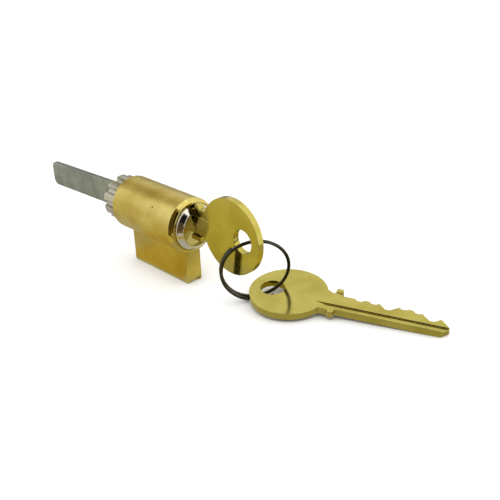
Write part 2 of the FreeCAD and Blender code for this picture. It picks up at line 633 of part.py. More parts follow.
def make_keys_and_ring():
    """The key in the plug, the split ring through its bow, and the spare key that lies on the ring."""
    shoulder = worked_out(SHOULDER_Y)
    middle_height = size("spine_height") - size("spine_offset")
    key = make_key("key")
    key.Placement = framed(Vector(0, shoulder, middle_height), UNIT_Y, -UNIT_Z)

    heading, lean = math.radians(size("ring_heading")), math.radians(size("ring_lean"))
    ring_way = Vector(math.cos(heading), math.sin(heading), 0)
    behind = UNIT_Z.cross(ring_way)
    ring_up = UNIT_Z * math.cos(lean) - behind * math.sin(lean)
    top = (Vector(0, shoulder - size("hole_centre"), middle_height - size("ring_drop"))
           + ring_way * size("ring_along") + behind * size("ring_behind"))
    centre = top - ring_up * size("ring_radius")
    ring = keep("split_ring", solid("ring_wire", ring_shape(), framed(centre, ring_way, ring_up)))

    bearing, tilt = math.radians(size("spare_heading")), math.radians(size("spare_tilt"))
    roll = math.radians(size("spare_roll"))
    level = Vector(math.cos(bearing), math.sin(bearing), 0)
    across = UNIT_Z.cross(level)
    along = level * math.cos(tilt) - UNIT_Z * math.sin(tilt)
    side = across * math.cos(roll) + along.cross(across) * math.sin(roll)
    origin = (centre + ring_way * size("spare_along") + behind * size("spare_behind")
              + along * size("hole_centre"))
    spare = make_key("spare_key")
    spare.Placement = framed(origin, along, side)
    doc.recompute()
    origin.z += lowest(ring) - lowest(spare)
    spare.Placement = framed(origin, along, side)


def lowest(item):
    """The height of a sub-part's lowest point."""
    return item.Shape.optimalBoundingBox().ZMin


def eased(share):
    """A share that starts and ends gently, and its slope."""
    return share ** 2 * (3 - 2 * share), 6 * share * (1 - share)


def ring_shape():
    """A turn and a half of wire, which crosses over on one side and spreads at its last end."""
    marks = [math.radians(size(f"ring_{mark}")) for mark in ("start", "cross", "crossed", "spread", "end")]
    start, cross, crossed, spread, end = marks
    step, growth = size("ring_step"), size("ring_growth")
    turns = []
    for first, last in zip(marks, marks[1:]):
        count = math.ceil((last - first) / RING_SPAN)
        turns += [first + (last - first) * index / count for index in range(count)]
    stations = []
    for turn in turns + [end]:
        over, steepness = eased(min(max((turn - cross) / (crossed - cross), 0), 1))
        out = max((turn - spread) / (end - spread), 0)
        stations.append((turn, step * (over - 0.5), step * steepness / (crossed - cross),
                         growth * out ** 2, 2 * growth * out / (end - spread)))
    return wound_tube(stations, size("ring_radius"), size("ring_wire") / 2, "split ring")


make_shell()
make_chamber_cover()
make_plug()
make_plug_cap()
make_cap_pin()
make_tailpiece()
for number in range(len(PINS)):
    make_pin_stack(number)
make_keys_and_ring()
doc.recompute()

for item in doc.Objects:
    if "Invalid" in item.State or "Error" in item.State:
        raise RuntimeError(f"{item.Name} failed: {item.State}")
os.makedirs("parts", exist_ok=True)
for part in parts:
    if part.Shape.isNull() or not part.Shape.isValid() or len(part.Shape.Solids) != 1:
        raise RuntimeError(f"{part.Label} is not one sound solid")
for part in parts:
    part.Shape.exportStep(f"parts/{part.Label}.step")
print(f"{len(parts)} sub-parts written")
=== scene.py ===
# %% [markdown]
# # A lock cylinder, its keys and their ring
# The lock was drawn as a mechanical part first, so every piece arrives here at its true size and place.
# What is left for this notebook is how it looks: the shine and wear of brass, nickel and steel, the small
# roundings that catch the light along every edge, the closely wound ring, and a white studio round it all.

import json
import math

import bmesh
import bpy
from mathutils import Matrix, Quaternion, Vector

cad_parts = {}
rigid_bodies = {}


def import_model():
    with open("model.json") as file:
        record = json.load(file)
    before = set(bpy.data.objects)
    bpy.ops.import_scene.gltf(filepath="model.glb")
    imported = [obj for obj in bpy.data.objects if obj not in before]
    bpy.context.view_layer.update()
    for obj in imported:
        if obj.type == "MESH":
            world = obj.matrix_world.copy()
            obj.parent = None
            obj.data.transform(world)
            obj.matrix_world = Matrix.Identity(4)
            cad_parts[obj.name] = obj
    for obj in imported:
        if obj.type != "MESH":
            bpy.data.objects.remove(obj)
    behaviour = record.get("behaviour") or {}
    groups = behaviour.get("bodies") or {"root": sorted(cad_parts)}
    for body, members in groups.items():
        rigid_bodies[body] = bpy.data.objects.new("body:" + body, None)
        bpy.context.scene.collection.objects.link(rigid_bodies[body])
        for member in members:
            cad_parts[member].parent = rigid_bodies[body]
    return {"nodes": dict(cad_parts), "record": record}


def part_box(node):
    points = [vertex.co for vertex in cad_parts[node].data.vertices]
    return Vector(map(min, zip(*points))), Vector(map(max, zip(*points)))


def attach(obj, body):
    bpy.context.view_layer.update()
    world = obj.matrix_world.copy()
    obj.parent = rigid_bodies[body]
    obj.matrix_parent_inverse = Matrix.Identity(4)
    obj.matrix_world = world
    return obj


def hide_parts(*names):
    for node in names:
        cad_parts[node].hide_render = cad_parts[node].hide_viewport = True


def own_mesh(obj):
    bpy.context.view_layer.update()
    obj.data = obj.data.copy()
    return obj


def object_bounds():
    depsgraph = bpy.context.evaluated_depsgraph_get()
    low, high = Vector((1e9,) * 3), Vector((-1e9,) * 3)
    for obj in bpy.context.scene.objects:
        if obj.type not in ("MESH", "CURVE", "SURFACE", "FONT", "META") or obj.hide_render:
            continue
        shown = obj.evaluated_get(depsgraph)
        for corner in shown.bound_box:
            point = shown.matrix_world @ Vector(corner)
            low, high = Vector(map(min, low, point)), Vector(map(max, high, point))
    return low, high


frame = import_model()
nodes = frame["nodes"]
cad_low, cad_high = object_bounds()
MM = 0.001
MICRON = 0.000001
print(len(nodes), "pieces, the whole is", [round(side / MM, 1) for side in cad_high - cad_low], "mm")

# %% [markdown]
# ## The camera
# A camera can be placed by hand, or worked out from what it has to see. Here it is given as a photographer
# would note it down: what it looks at, from how far, from which side and how high, and how far it is rolled.
# It comes first, because every finish is judged through it. A 58 mm lens keeps the keys and the barrel in
# natural proportion, and depth of field stays off, so that the model is sharp all over.

# %% Camera
LOOKS_AT = Vector((9.7, -13.5, -6.9)) * MM
DISTANCE = 228 * MM
AZIMUTH = math.radians(-42.8)
ELEVATION = math.radians(25.8)
ROLL = math.radians(-2.25)
FOCAL_LENGTH = 58.5
SENSOR_WIDTH = 36
NEAREST, FARTHEST = 0.01, 10


def new_object(name, data):
    """An object that shows the data it is given, added to the scene."""
    made = bpy.data.objects.new(name, data)
    bpy.context.scene.collection.objects.link(made)
    return made


towards_camera = Vector((math.sin(AZIMUTH) * math.cos(ELEVATION),
                         -math.cos(AZIMUTH) * math.cos(ELEVATION),
                         math.sin(ELEVATION)))
camera = new_object("camera", bpy.data.cameras.new("camera"))
camera.data.lens = FOCAL_LENGTH
camera.data.sensor_width = SENSOR_WIDTH
camera.data.clip_start = NEAREST
camera.data.clip_end = FARTHEST
camera.location = LOOKS_AT + towards_camera * DISTANCE
camera.rotation_mode = "QUATERNION"
camera.rotation_quaternion = (Quaternion(towards_camera, ROLL)
                              @ (-towards_camera).to_track_quat("-Z", "Y"))
bpy.context.scene.camera = camera
print("camera at", [round(value / MM, 1) for value in camera.location], "mm")

# %% [markdown]
# ## Helpers for shader trees
# A finish is a small tree of shader nodes. Written out in full, each node takes several lines, so one helper
# makes a node, sets its properties and fills its sockets. A value that is itself a socket becomes a link.

# %% Node helper
def blank_tree(owner):
    """The shader tree of a material or a world, with nothing in it yet."""
    owner.use_nodes = True
    owner.node_tree.nodes.clear()
    return owner.node_tree


def add_node(tree, kind, sockets=None, **properties):
    """Adds a node to a tree. Sockets maps an input's name or number to a value or to another output."""
    node = tree.nodes.new(kind)
    for name, value in properties.items():
        setattr(node, name, value)
    for key, value in (sockets or {}).items():
        if isinstance(value, bpy.types.NodeSocket):
            tree.links.new(value, node.inputs[key])
        else:
            node.inputs[key].default_value = value
    return node


# %% [markdown]
# ## Nodes that come back
# Sums, ranges, mixtures and noise are needed again and again. Each gets a helper of its own that returns its
# result and not the node, so that one can be passed straight to the next, as in a formula. A Mix node has its
# sockets once for each kind of data, under the same names, so numbers tell them apart: 2 and 3 are its
# values, 6 and 7 its colours.

# %% Common nodes
def calculate(tree, operation, first, second):
    """The product, the difference or the like of two values."""
    return add_node(tree, "ShaderNodeMath", {0: first, 1: second}, operation=operation).outputs[0]


def remap(tree, value, start, end, low=0.0, high=1.0, **properties):
    """A value that runs from low to high while another one runs from start to end."""
    return add_node(tree, "ShaderNodeMapRange",
                    {"Value": value, "From Min": start, "From Max": end, "To Min": low, "To Max": high},
                    **properties).outputs["Result"]


def mix(tree, share, first, second):
    """A value between two others."""
    return add_node(tree, "ShaderNodeMix", {"Factor": share, 2: first, 3: second}).outputs[0]


def mix_colours(tree, share, first, second):
    """A colour between two others."""
    return add_node(tree, "ShaderNodeMix", {"Factor": share, 6: first, 7: second},
                    data_type="RGBA").outputs[2]


def noise(tree, vector, scale, detail, roughness=0.5, distortion=0.0):
    """Soft random clouds, as a value round one half."""
    return add_node(tree, "ShaderNodeTexNoise",
                    {"Vector": vector, "Scale": scale, "Detail": detail, "Roughness": roughness,
                     "Distortion": distortion}).outputs["Fac"]


# %% [markdown]
# ## Helper for node groups
# An effect that several metals share is built once as a node group. The group has named inputs and outputs,
# and each metal then sets its own values on it, as on a tool with a few dials.

# %% Node group helper
FLOAT = "NodeSocketFloat"
COLOUR = "NodeSocketColor"
VECTOR = "NodeSocketVector"


def new_group(name, inputs, outputs):
    """A shader node group with named inputs and outputs. Returns it with its input node and output node."""
    group = bpy.data.node_groups.new(name, "ShaderNodeTree")
    for label, kind, default in inputs:
        socket = group.interface.new_socket(name=label, in_out="INPUT", socket_type=kind)
        if default is not None:
            socket.default_value = default
    for label, kind in outputs:
        group.interface.new_socket(name=label, in_out="OUTPUT", socket_type=kind)
    return group, group.nodes.new("NodeGroupInput"), group.nodes.new("NodeGroupOutput")


# %% [markdown]
# ## Tool marks
# Turned and ground metal is never smooth: the tool leaves fine parallel lines. Noise that is squeezed hard
# along one direction gives just such lines, and a second, coarser layer keeps them from looking machine
# perfect. One group serves every piece, because the stretch says which way its lines run.

# %% Tool marks
COARSER = 0.23


def tool_marks_group():
    """Fine parallel lines from a stretched noise, as a value round one half."""
    group, inside, out = new_group(
        "tool marks",
        [("Vector", VECTOR, None), ("Stretch", VECTOR, (1, 1, 1)), ("Lines per mm", FLOAT, 8.0),
         ("Coarse share", FLOAT, 0.4)],
        [("Lines", FLOAT)])
    stretched = add_node(group, "ShaderNodeVectorMath",
                         {0: inside.outputs["Vector"], 1: inside.outputs["Stretch"]},
                         operation="MULTIPLY").outputs[0]
    fine = noise(group, stretched, inside.outputs["Lines per mm"], 3.0, roughness=0.6)
    coarser = calculate(group, "MULTIPLY", inside.outputs["Lines per mm"], COARSER)
    coarse = noise(group, stretched, coarser, 2.0)
    group.links.new(mix(group, inside.outputs["Coarse share"], fine, coarse), out.inputs["Lines"])
    return group


TOOL_MARKS = tool_marks_group()
print("tool marks take", len(TOOL_MARKS.nodes), "nodes")

# %% [markdown]
# ## Tarnish
# Bare brass darkens unevenly where hands and air reach it. Painted patches would need a map of every surface,
# so soft clouds of noise stand for them here. The group mixes a clean colour with a darkened one through
# those clouds, so that every patch fades into the next.

# %% Tarnish
TARNISH_RANGE = (0.35, 0.68)


def tarnish_group():
    """Soft patches between a clean and a darkened colour."""
    group, inside, out = new_group(
        "tarnish",
        [("Vector", VECTOR, None), ("Patches per mm", FLOAT, 0.15), ("Clean", COLOUR, (1, 1, 1, 1)),
         ("Darkened", COLOUR, (0, 0, 0, 1))],
        [("Color", COLOUR)])
    patches = noise(group, inside.outputs["Vector"], inside.outputs["Patches per mm"], 5.0, roughness=0.55)
    spread = remap(group, patches, *TARNISH_RANGE, interpolation_type="SMOOTHSTEP")
    group.links.new(mix_colours(group, spread, inside.outputs["Clean"], inside.outputs["Darkened"]),
                    out.inputs["Color"])
    return group


TARNISH = tarnish_group()
print("tarnish takes", len(TARNISH.nodes), "nodes")

# %% [markdown]
# ## Edge wear
# Edges are what pockets and fingers rub bright. A Bevel node gives the normal that a rounded edge would have,
# so wherever it disagrees with the true normal there is an edge nearby. That needs no painting and works on
# any shape. Noise breaks the mask up, since real wear comes and goes along an edge.

# %% Edge wear
ON_FLAT = 0.995
ON_EDGE = 0.9
BREAKS_RANGE = (0.32, 0.62)


def edge_wear_group():
    """A mask that is 1 on edges and 0 on flat metal, broken up by noise."""
    group, inside, out = new_group(
        "edge wear",
        [("Vector", VECTOR, None), ("Reach", FLOAT, 0.0003), ("Breaks per mm", FLOAT, 0.8)],
        [("Mask", FLOAT)])
    rounded = add_node(group, "ShaderNodeBevel", {"Radius": inside.outputs["Reach"]}, samples=6)
    surface = add_node(group, "ShaderNodeNewGeometry")
    agreement = add_node(group, "ShaderNodeVectorMath",
                         {0: rounded.outputs["Normal"], 1: surface.outputs["Normal"]},
                         operation="DOT_PRODUCT").outputs["Value"]
    breaks = noise(group, inside.outputs["Vector"], inside.outputs["Breaks per mm"], 4.0)
    mask = calculate(group, "MULTIPLY", remap(group, agreement, ON_FLAT, ON_EDGE),
                     remap(group, breaks, *BREAKS_RANGE))
    group.links.new(mask, out.inputs["Mask"])
    return group


EDGE_WEAR = edge_wear_group()
print("edge wear takes", len(EDGE_WEAR.nodes), "nodes")

# %% [markdown]
# ## Scratches
# Keys live in pockets, so their faces carry thin scratches in all directions. Each layer takes noise that is
# stretched along one direction, keeps only its highest crests, and so leaves a few long, thin lines. Three
# layers at different angles cross each other.

# %% Scratches
SCRATCH_ANGLES = (20, 75, 140)
SCRATCH_STRETCH = (0.08, 2.2, 1.0)
CRESTS_RANGE = (0.66, 0.74)


def scratches_group():
    """Thin crossing lines in the plane of X and Y, as a mask."""
    group, inside, out = new_group(
        "scratches", [("Vector", VECTOR, None), ("Scratches per mm", FLOAT, 1.6)], [("Mask", FLOAT)])
    total = None
    for angle in SCRATCH_ANGLES:
        turned = add_node(group, "ShaderNodeVectorRotate",
                          {"Vector": inside.outputs["Vector"], "Angle": math.radians(angle)},
                          rotation_type="Z_AXIS").outputs[0]
        stretched = add_node(group, "ShaderNodeVectorMath", {0: turned, 1: SCRATCH_STRETCH},
                             operation="MULTIPLY").outputs[0]
        lines = noise(group, stretched, inside.outputs["Scratches per mm"], 2.0, distortion=0.3)
        crests = remap(group, lines, *CRESTS_RANGE)
        total = crests if total is None else calculate(group, "MAXIMUM", total, crests)
    group.links.new(total, out.inputs["Mask"])
    return group


SCRATCHES = scratches_group()
print("scratches take", len(SCRATCHES.nodes), "nodes")

# %% [markdown]
# ## From written colours to light
# A colour picked by eye is written as a screen shows it, but a renderer works in linear light. This one
# conversion lets every finish below be written as plain screen colours.

# %% Colour conversion
def screen(red, green, blue):
    """A colour as a screen shows it, from 0 to 255, in linear light."""
    def linear(level):
        share = level / 255
        return share / 12.92 if share <= 0.04045 else ((share + 0.055) / 1.055) ** 2.4
    return (linear(red), linear(green), linear(blue), 1)


print("a screen's middle grey is", round(screen(128, 128, 128)[0], 3), "in linear light")

# %% [markdown]
# ## Where on the piece
# Tool marks and scratches are counted per millimetre, and they follow the piece, wherever it lies. Object
# coordinates do both, once they are scaled to millimetres. A piece that lies at a slant can pass the frame it
# is turned from, so that its lines and scratches follow the piece and not the table.

# %% Place in millimetres
def place_in_mm(tree, turned_from=None):
    """Object coordinates in mm, in the piece's own frame where one is given."""
    place = add_node(tree, "ShaderNodeTexCoord").outputs["Object"]
    if turned_from is not None:
        back = turned_from.inverted()
        place = add_node(tree, "ShaderNodeMapping",
                         {"Vector": place, "Location": back.translation,
                          "Rotation": back.to_euler("XYZ")}).outputs[0]
    return add_node(tree, "ShaderNodeVectorMath", {0: place, "Scale": 1 / MM}, operation="SCALE").outputs[0]


# %% [markdown]
# ## Colour and relief of a metal
# The colour comes from tarnish and from wear along the edges. The relief starts from the tool marks.
# Scratches are cut into it, and the long, low waves that rolling leaves in sheet lift it a little. A mirror
# shows such waves at once, because what it reflects bends with them.

# %% Colour and relief
ROLLING_PER_MM = 0.22


def metal_colour(tree, in_mm, clean, darkened, bright, wear, patches):
    """The colour of tarnished metal, brighter where its edges are worn."""
    tarnish = add_node(tree, "ShaderNodeGroup",
                       {"Vector": in_mm, "Patches per mm": patches, "Clean": clean, "Darkened": darkened},
                       node_tree=TARNISH)
    worn = add_node(tree, "ShaderNodeGroup", {"Vector": in_mm}, node_tree=EDGE_WEAR)
    wear_share = calculate(tree, "MULTIPLY", worn.outputs["Mask"], wear)
    return mix_colours(tree, wear_share, tarnish.outputs["Color"], bright)


def damaged_height(tree, in_mm, height, scratched, waves):
    """A height with scratches cut into it and the waves of rolling added."""
    if scratched:
        scratches = add_node(tree, "ShaderNodeGroup", {"Vector": in_mm}, node_tree=SCRATCHES)
        depth = calculate(tree, "MULTIPLY", scratches.outputs["Mask"], scratched)
        height = calculate(tree, "SUBTRACT", height, depth)
    if waves:
        raised = calculate(tree, "MULTIPLY", noise(tree, in_mm, ROLLING_PER_MM, 1.0), waves)
        height = calculate(tree, "ADD", height, raised)
    return height


# %% [markdown]
# ## A metal finish
# All the metals here share one recipe: a varied colour, roughness from the tool marks, and a slight relief.
# A Bevel node lends every sharp edge the small rounding that catches the light on a real one. One function
# builds it all, and each metal calls it with its own colours and numbers. What is the same all over the
# surface is set on the shader itself.

# %% Metal recipe
MARKS_RANGE = (0.3, 0.7)
POLISH = 0.07


def metal(name, clean, darkened, bright, roughness, stretch, lines, relief, wear=0.6, scratched=0.0,
          patches=0.15, marks_in_shine=0.12, edge=0.12, waves=0.0, polished=None, turned_from=None):
    """A metal whose colour, shine and relief vary over the surface. Edge is in mm, relief in metres."""
    material = bpy.data.materials.new(name)
    tree = blank_tree(material)
    in_mm = place_in_mm(tree, turned_from)
    colour = metal_colour(tree, in_mm, clean, darkened, bright, wear, patches)
    marks = add_node(tree, "ShaderNodeGroup",
                     {"Vector": in_mm, "Stretch": stretch, "Lines per mm": lines},
                     node_tree=TOOL_MARKS).outputs["Lines"]
    shine = remap(tree, marks, *MARKS_RANGE, roughness - marks_in_shine / 2, roughness + marks_in_shine / 2)
    height = marks
    if polished is not None:
        mask, profile = polished(tree, in_mm)
        shine = mix(tree, mask, shine, POLISH)
        height = mix(tree, mask, height, calculate(tree, "MULTIPLY", profile, MM / relief))
    height = damaged_height(tree, in_mm, height, scratched, waves)
    bump = add_node(tree, "ShaderNodeBump", {"Height": height, "Strength": 1.0, "Distance": relief})
    if edge:
        rounded = add_node(tree, "ShaderNodeBevel", {"Radius": edge * MM}, samples=8)
        tree.links.new(rounded.outputs["Normal"], bump.inputs["Normal"])
    shader = add_node(tree, "ShaderNodeBsdfPrincipled",
                      {"Base Color": colour, "Metallic": 1.0, "Roughness": shine,
                       "Normal": bump.outputs["Normal"]})
    add_node(tree, "ShaderNodeOutputMaterial", {"Surface": shader.outputs[0]})
    return material


# %% [markdown]
# ## The polished nose
# The barrel is ground dull all over, except its nose, which is turned bright. Both are one piece of brass, so
# the material itself has to know where the nose is. It starts just behind the housing's front and lies
# within the barrel's radius, so two simple ranges in object coordinates find it. The tool also left a steeper
# slope there than the solid has. Only a mirror shows it, so the slope goes into the relief.

# %% The nose
NOSE_START = 0.2
SLOPE_END = -1.2
SLOPE = math.tan(math.radians(24))
BARREL_RADIUS = 8.0
FADE_ACROSS = 0.03
FADE_ALONG = 0.02


def nose(tree, in_mm):
    """A mask of the barrel's nose, and the depth of the slope turned on it, in mm."""
    across = add_node(tree, "ShaderNodeVectorMath", {0: in_mm, 1: (1, 0, 1)}, operation="MULTIPLY").outputs[0]
    from_axis = add_node(tree, "ShaderNodeVectorMath", {0: across}, operation="LENGTH").outputs["Value"]
    along = add_node(tree, "ShaderNodeSeparateXYZ", {0: in_mm}).outputs["Y"]
    within = remap(tree, from_axis, BARREL_RADIUS + FADE_ACROSS, BARREL_RADIUS)
    ahead = remap(tree, along, NOSE_START + FADE_ALONG, NOSE_START)
    depth = remap(tree, along, NOSE_START, SLOPE_END, 0.0, (SLOPE_END - NOSE_START) * SLOPE)
    return calculate(tree, "MULTIPLY", within, ahead), depth


# %% [markdown]
# ## Metals of the lock
# The barrel is cast and turned brass, ground smooth but not polished. The plug and its cap are nickel plated.
# The tailpiece is sheet steel, blasted to a dull grey, and duller still where the shears cut it. Each metal
# gets its clean colour, its darkened one and the bright one of its worn edges, in that order. The barrel is
# ground along its length, so its noise is stretched along Y.

# %% Metals of the lock
SATIN_BRASS = metal(
    "satin brass", screen(211, 194, 115), screen(193, 172, 89), screen(236, 218, 156),
    roughness=0.33, stretch=(1.0, 0.3, 1.0), lines=5.0, relief=5 * MICRON, wear=0.35, patches=0.14,
    marks_in_shine=0.16, edge=0.2, polished=nose)
NICKEL = metal(
    "nickel plate", screen(222, 219, 208), screen(200, 196, 182), screen(245, 244, 240),
    roughness=0.09, stretch=(1.0, 0.3, 1.0), lines=6.0, relief=MICRON, wear=0.3, marks_in_shine=0.06,
    edge=0.7)
CAP_NICKEL = metal(
    "cap nickel", screen(198, 196, 187), screen(162, 160, 149), screen(232, 230, 220),
    roughness=0.3, stretch=(1.0, 1.0, 1.0), lines=3.0, relief=3 * MICRON, wear=0.3, edge=0.55)
TAIL_STEEL = metal(
    "tailpiece steel", screen(160, 165, 158), screen(139, 145, 138), screen(178, 180, 174),
    roughness=0.42, stretch=(1.0, 0.35, 1.0), lines=7.0, relief=3 * MICRON, wear=0.2, patches=0.2,
    edge=0.45)
CUT_STEEL = metal(
    "cut edge of steel", screen(130, 132, 124), screen(112, 115, 108), screen(160, 164, 158),
    roughness=0.5, stretch=(0.2, 1.0, 1.0), lines=6.0, relief=3 * MICRON, wear=0.2, patches=0.2, edge=0.3)
print("satin brass takes", len(SATIN_BRASS.node_tree.nodes), "nodes")

# %% [markdown]
# ## Metals of the ring, the pins and the springs
# The ring is oiled spring steel, nearly black. The pins are turned from brass and nickel silver, and turning
# leaves its marks round them, so their noise changes quickly along Z and slowly across it. Drawn wire has no
# such marks to show at its size, so the noise of the ring and the springs isn't stretched.

# %% Metals of the ring, the pins and the springs
DARK_STEEL = metal(
    "ring steel", screen(84, 82, 72), screen(58, 56, 48), screen(128, 126, 116),
    roughness=0.18, stretch=(1.0, 1.0, 1.0), lines=5.0, relief=2 * MICRON, wear=0.5, edge=0)
PIN_BRASS = metal(
    "pin brass", screen(216, 188, 108), screen(190, 158, 78), screen(240, 222, 160),
    roughness=0.25, stretch=(0.2, 0.2, 1.0), lines=9.0, relief=2 * MICRON)
PIN_NICKEL_SILVER = metal(
    "pin nickel silver", screen(196, 194, 184), screen(164, 160, 148), screen(232, 230, 222),
    roughness=0.25, stretch=(0.2, 0.2, 1.0), lines=9.0, relief=2 * MICRON)
SPRING_WIRE = metal(
    "spring wire", screen(172, 168, 160), screen(132, 128, 118), screen(214, 210, 202),
    roughness=0.3, stretch=(1.0, 1.0, 1.0), lines=6.0, relief=MICRON, edge=0)
print("pin brass takes", len(PIN_BRASS.node_tree.nodes), "nodes")

# %% [markdown]
# ## Brass of the keys
# The keys are stamped from a paler, greener brass and tumbled bright, so they mirror, and they carry more
# wear than the lock. One material for both would run its marks the same way on each, but the two keys lie at
# different angles. So a function makes the brass, once for each key, from the key's own frame.

# %% Brass of the keys
def key_brass(name, turned_from=None):
    """The brass of a key, whose scratches lie in the key's own plane."""
    return metal(name, screen(196, 182, 92), screen(180, 166, 74), screen(232, 224, 160),
                 roughness=0.15, stretch=(1.0, 0.25, 1.0), lines=7.0, relief=MICRON, wear=0.5,
                 scratched=0.6, patches=0.12, marks_in_shine=0.08, edge=0.2, waves=40.0,
                 turned_from=turned_from)


# %% [markdown]
# ## Giving each piece its finish
# The record says which slot each piece takes its finish from, so a table from slots to metals is all that is
# needed. Every mechanical piece gets its finish this way, also those that a finer piece replaces further on.

# %% Finish the mechanical pieces
FINISHES = {
    "satin_brass": SATIN_BRASS, "nickel": NICKEL, "bright_nickel": CAP_NICKEL, "tail_steel": TAIL_STEEL,
    "key_brass": key_brass("key brass"), "dark_steel": DARK_STEEL, "pin_brass": PIN_BRASS,
    "pin_nickel_silver": PIN_NICKEL_SILVER, "spring_wire": SPRING_WIRE,
}
slot_of = {part["node"]: part["material_slot"] for part in frame["record"]["subparts"]}
for name, piece in nodes.items():
    piece.data.materials.clear()
    piece.data.materials.append(FINISHES[slot_of[name]])
print(len(nodes), "pieces take", len(FINISHES), "finishes")

# %% [markdown]
# ## Where the keys lie
# One key stands upright in the lock, and the spare lies on the table at a slant, so a rule such as "round the
# bow" is hard to state in the world's axes. Each key therefore gets a frame of its own: X runs from the bow
# to the tip, Y across the blade and Z through the sheet. It is written down once as a matrix, and the inverse
# of that matrix brings a copy of the key home.

# %% Frames of the keys
KEY_HEIGHT = 2.0
SHOULDER = -3.25
HOLE_CENTRE = 18.85
SPARE_HOLE = Vector((7.463, -24.406, -14.808))
SPARE_HEADING = math.radians(-66.9)
SPARE_TILT = math.radians(2.05)
SPARE_ROLL = math.radians(5.15)
UPWARDS = Vector((0, 0, 1))


def framed(origin, along, side):
    """The matrix of a frame, in metres, from its origin in millimetres and two of its axes."""
    up = along.cross(side)
    matrix = Matrix((along, side, up)).transposed().to_4x4()
    matrix.translation = origin * MM
    return matrix


level = Vector((math.cos(SPARE_HEADING), math.sin(SPARE_HEADING), 0))
spare_along = level * math.cos(SPARE_TILT) - UPWARDS * math.sin(SPARE_TILT)
spare_flat = UPWARDS.cross(level)
spare_side = spare_flat * math.cos(SPARE_ROLL) + spare_along.cross(spare_flat) * math.sin(SPARE_ROLL)
KEY_FRAMES = {
    "key": framed(Vector((0, SHOULDER, KEY_HEIGHT)), Vector((0, 1, 0)), -UPWARDS),
    "spare_key": framed(SPARE_HOLE + spare_along * HOLE_CENTRE, spare_along, spare_side),
}
for name, matrix in KEY_FRAMES.items():
    print(name, "has its shoulder at", [round(value / MM, 1) for value in matrix.translation], "mm")

# %% [markdown]
# ## From a sharp solid to a handled one
# The mechanical model has the right outlines, with perfectly sharp edges and many small flats. A Bevel
# modifier would round every edge alike. Working on a copy as a bmesh allows each kind of edge its own
# rounding, after the flats have been merged into clean faces.

# %% Clean and rounded copies
SAME_POINT = 0.001 * MM
SAME_FLAT = math.radians(0.5)
SHARP = math.radians(25)


def clean_copy(node_name):
    """A node's mesh as a bmesh, with its small flats merged into clean faces."""
    mesh = bmesh.new()
    mesh.from_mesh(nodes[node_name].data)
    bmesh.ops.remove_doubles(mesh, verts=mesh.verts, dist=SAME_POINT)
    bmesh.ops.dissolve_limit(mesh, angle_limit=SAME_FLAT, verts=mesh.verts, edges=mesh.edges)
    return mesh


def round_off(mesh, wanted, offset, segments):
    """Rounds the sharp edges that pass a test, by an offset in mm."""
    sharp = [edge for edge in mesh.edges
             if len(edge.link_faces) == 2 and edge.calc_face_angle(0) > SHARP and wanted(edge)]
    bmesh.ops.bevel(mesh, geom=sharp, offset=offset * MM, segments=segments, profile=0.5, affect="EDGES",
                    clamp_overlap=True)


# %% [markdown]
# ## Handing a piece over
# A finished copy stands in for its solid: it rides on the same body, hides the solid and takes a finish of
# its own.
# Plain smooth shading would bend the light near every rounded edge. Weighted normals follow the large faces
# and keep them flat.

# %% Finished pieces
def finished_piece(name, mesh, node_name, body, material):
    """Turns a bmesh into a smooth piece that stands for a node."""
    data = bpy.data.meshes.new(name)
    mesh.to_mesh(data)
    print(name, "has", len(mesh.verts), "vertices")
    mesh.free()
    piece = new_object(name, data)
    data.materials.append(material)
    for polygon in data.polygons:
        polygon.use_smooth = True
    piece.modifiers.new("weighted_normals", "WEIGHTED_NORMAL").keep_sharp = True
    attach(piece, body)
    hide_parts(node_name)
    return piece


# %% [markdown]
# ## Edges of a key
# A key is stamped from sheet, milled and then tumbled. Tumbling rounds the bow's outline and its hole well,
# and the blade only a little. The edges of the bow could be marked by hand, but in the key's own frame two
# limits tell them apart: a distance from the bow's middle, and the place along the key where the bow ends.

# %% Edges of a key
BOW_MIDDLE = Vector((-14.15, 0, 0)) * MM
BOW_REACH = 11.9 * MM
BOW_ENDS = -5.5 * MM


def on_the_bow(edge):
    """Whether an edge belongs to the bow's outline or its hole, in the key's frame."""
    return all(vertex.co.x < BOW_ENDS and (vertex.co - BOW_MIDDLE).length < BOW_REACH
               for vertex in edge.verts)


def off_the_bow(edge):
    """Whether an edge belongs to the shoulder or the blade."""
    return not on_the_bow(edge)


# %% [markdown]
# ## Finished keys
# Each copy is brought home into the key's frame, finished there and put back. The hollow behind the
# shoulder's point is drawn out towards it, which leaves the point narrow. The spare's grooves are a little
# shallower, as they look on the worn key, because a deep sharp groove mirrors only itself and turns nearly
# black.

# %% Finish the keys
BOW_ROUNDING = 0.22
BLADE_ROUNDING = 0.07
THROAT_BEND = Vector((-3.6, -4.65)) * MM
THROAT_MOVE = 1.4 * MM
NEAR_BEND = 0.2 * MM
GROOVE_FLOOR = 0.35 * MM
WORN_FLOOR = 0.54 * MM
NEAR_FLOOR = 0.02 * MM


def finish_key(name, node_name, body, groove_floor):
    """Makes a copy of a key with clean faces, rounded edges and its own depth of groove."""
    frame_of_key = KEY_FRAMES[node_name]
    mesh = clean_copy(node_name)
    bmesh.ops.transform(mesh, matrix=frame_of_key.inverted(), verts=mesh.verts)
    for vertex in mesh.verts:
        if abs(abs(vertex.co.z) - GROOVE_FLOOR) < NEAR_FLOOR:
            vertex.co.z = math.copysign(groove_floor, vertex.co.z)
        if (vertex.co.xy - THROAT_BEND).length < NEAR_BEND:
            vertex.co.x += THROAT_MOVE
    round_off(mesh, on_the_bow, BOW_ROUNDING, 3)
    round_off(mesh, off_the_bow, BLADE_ROUNDING, 2)
    bmesh.ops.transform(mesh, matrix=frame_of_key, verts=mesh.verts)
    finished_piece(name, mesh, node_name, body, key_brass(name + " brass", frame_of_key))


